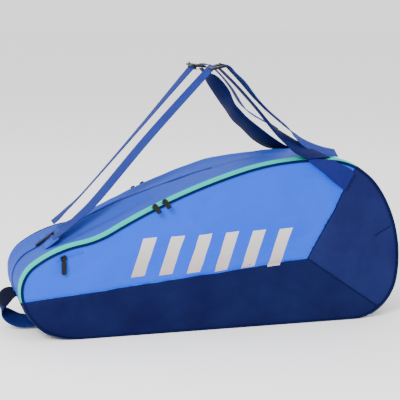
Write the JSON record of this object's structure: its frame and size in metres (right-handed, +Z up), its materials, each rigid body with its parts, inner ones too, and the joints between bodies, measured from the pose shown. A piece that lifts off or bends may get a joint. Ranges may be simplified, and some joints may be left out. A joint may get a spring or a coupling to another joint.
{
  "type": "racket tournament bag",
  "caption": "Long soft racket bag with a rounded wide end, zipped side covers, a centre zip, a front pocket, standing shoulder straps and a grab loop.",
  "frame": {"origin": "on the floor, on the flat bottom gusset, below the middle of the bag's length and depth", "axes": "+X runs from the narrow end to the wide end, the front cover with the pocket faces -Y, +Z is up"},
  "size_m": [0.7813, 0.2346, 0.5049],
  "materials": {
    "light_fabric": "coated weave",
    "gusset_fabric": "coated weave",
    "navy_fabric": "coated weave",
    "end_fabric": "coated weave",
    "turquoise_tape": "woven zip tape",
    "navy_tape": "woven tape",
    "webbing": "ribbed webbing",
    "pad_fabric": "padded weave",
    "lining": "plain weave",
    "hardware": "satin moulded",
    "pull_rubber": "matt moulded"
  },
  "bodies": {
    "body": {"base_gusset": "navy_fabric", "grab_loop": "webbing", "ridge_seam": "gusset_fabric", "front_gusset": "gusset_fabric", "front_centre_tape": "navy_tape", "front_divider": "lining", "front_zip_tape": "turquoise_tape", "front_coil": "turquoise_tape", "front_low_panel": "navy_fabric", "front_anchor": "webbing", "back_gusset": "gusset_fabric", "back_centre_tape": "navy_tape", "back_divider": "lining", "back_zip_tape": "turquoise_tape", "back_coil": "turquoise_tape", "back_low_panel": "navy_fabric", "back_anchor": "webbing"},
    "front_cover_half": {"front_cover_light": "light_fabric", "front_cover_navy": "navy_fabric", "front_cover_end": "end_fabric", "front_cover_tape": "turquoise_tape", "front_cover_coil": "turquoise_tape", "front_piping": "navy_tape", "front_strap_patch": "pad_fabric", "pocket_zip": "navy_tape"},
    "front_zip_left": {"front_slider_left": "hardware"},
    "front_tab_left": {"front_pull_left": "pull_rubber"},
    "front_zip_right": {"front_slider_right": "hardware"},
    "front_tab_right": {"front_pull_right": "pull_rubber"},
    "back_cover_half": {"back_cover_light": "light_fabric", "back_cover_navy": "navy_fabric", "back_cover_end": "end_fabric", "back_cover_tape": "turquoise_tape", "back_cover_coil": "turquoise_tape", "back_piping": "navy_tape", "back_strap_patch": "pad_fabric"},
    "back_zip_left": {"back_slider_left": "hardware"},
    "back_tab_left": {"back_pull_left": "pull_rubber"},
    "back_zip_right": {"back_slider_right": "hardware"},
    "back_tab_right": {"back_pull_right": "pull_rubber"},
    "centre_zip_slide": {"centre_slider": "hardware"},
    "centre_tab": {"centre_pull": "pull_rubber"},
    "pocket_zip_slide": {"pocket_slider": "hardware"},
    "pocket_tab": {"pocket_pull": "pull_rubber"},
    "front_strap": {"front_webbing": "webbing", "front_strap_pad": "pad_fabric", "front_strap_tail": "webbing"},
    "front_lock": {"front_buckle": "hardware"},
    "back_strap": {"back_webbing": "webbing", "back_strap_pad": "pad_fabric", "back_strap_tail": "webbing"},
    "back_lock": {"back_buckle": "hardware"}
  },
  "joints": [
    {"name": "front_cover_fold", "type": "hinge", "parent": "body", "child": "front_cover_half", "pos_m": [0, -0.1, 0.07], "axis": [1, 0, 0], "range_deg": [0, 40]},
    {"name": "front_zip_left_travel", "type": "hinge", "parent": "front_cover_half", "child": "front_zip_left", "pos_m": [0.36941, -0.087, -0.83236], "axis": [0, 1, 0], "range_deg": [-3.3, 0]},
    {"name": "front_tab_left_swing", "type": "hinge", "parent": "front_zip_left", "child": "front_tab_left", "pos_m": [-0.12508, -0.093, 0.24938], "axis": [-0.9095, 0, -0.4157], "range_deg": [0, 110]},
    {"name": "front_zip_right_travel", "type": "hinge", "parent": "front_cover_half", "child": "front_zip_right", "pos_m": [0.36941, -0.087, -0.83236], "axis": [0, 1, 0], "range_deg": [0, 7]},
    {"name": "front_tab_right_swing", "type": "hinge", "parent": "front_zip_right", "child": "front_tab_right", "pos_m": [-0.10596, -0.093, 0.25791], "axis": [-0.9167, 0, -0.3997], "range_deg": [0, 110]},
    {"name": "back_cover_fold", "type": "hinge", "parent": "body", "child": "back_cover_half", "pos_m": [0, 0.1, 0.07], "axis": [-1, 0, 0], "range_deg": [0, 40]},
    {"name": "back_zip_left_travel", "type": "hinge", "parent": "back_cover_half", "child": "back_zip_left", "pos_m": [0.36941, 0.087, -0.83236], "axis": [0, 1, 0], "range_deg": [-3.3, 0]},
    {"name": "back_tab_left_swing", "type": "hinge", "parent": "back_zip_left", "child": "back_tab_left", "pos_m": [-0.12508, 0.093, 0.24938], "axis": [0.9095, 0, 0.4157], "range_deg": [0, 110]},
    {"name": "back_zip_right_travel", "type": "hinge", "parent": "back_cover_half", "child": "back_zip_right", "pos_m": [0.36941, 0.087, -0.83236], "axis": [0, 1, 0], "range_deg": [0, 7]},
    {"name": "back_tab_right_swing", "type": "hinge", "parent": "back_zip_right", "child": "back_tab_right", "pos_m": [-0.10596, 0.093, 0.25791], "axis": [0.9167, 0, 0.3997], "range_deg": [0, 110]},
    {"name": "centre_zip_travel", "type": "hinge", "parent": "body", "child": "centre_zip_slide", "pos_m": [0.32099, 0, -0.94971], "axis": [0, 1, 0], "range_deg": [0, 13.4]},
    {"name": "centre_tab_swing", "type": "hinge", "parent": "centre_zip_slide", "child": "centre_tab", "pos_m": [-0.30357, 0, 0.18404], "axis": [0, 1, 0], "range_deg": [0, 150]},
    {"name": "pocket_zip_travel", "type": "hinge", "parent": "front_cover_half", "child": "pocket_zip_slide", "pos_m": [-0.23306, -0.102, -0.02069], "axis": [0, 1, 0], "range_deg": [0, 8]},
    {"name": "pocket_tab_swing", "type": "hinge", "parent": "pocket_zip_slide", "child": "pocket_tab", "pos_m": [-0.29887, -0.106, 0.15862], "axis": [-0.9388, 0, -0.3445], "range_deg": [0, 100]},
    {"name": "front_strap_swing", "type": "hinge", "parent": "body", "child": "front_strap", "pos_m": [-0.3, -0.031, 0.188], "axis": [0.9585, -0.1333, 0.252], "range_deg": [0, 45]},
    {"name": "front_buckle_tilt", "type": "hinge", "parent": "front_strap", "child": "front_lock", "pos_m": [0.02477, -0.024, 0.50235], "axis": [0, 1, 0], "range_deg": [0, 30]},
    {"name": "back_strap_swing", "type": "hinge", "parent": "body", "child": "back_strap", "pos_m": [-0.3, 0.031, 0.19], "axis": [-0.956, -0.1387, -0.2585], "range_deg": [0, 45]},
    {"name": "back_buckle_tilt", "type": "hinge", "parent": "back_strap", "child": "back_lock", "pos_m": [-0.00206, 0.024, 0.49781], "axis": [0, 1, 0], "range_deg": [0, 30]}
  ]
}
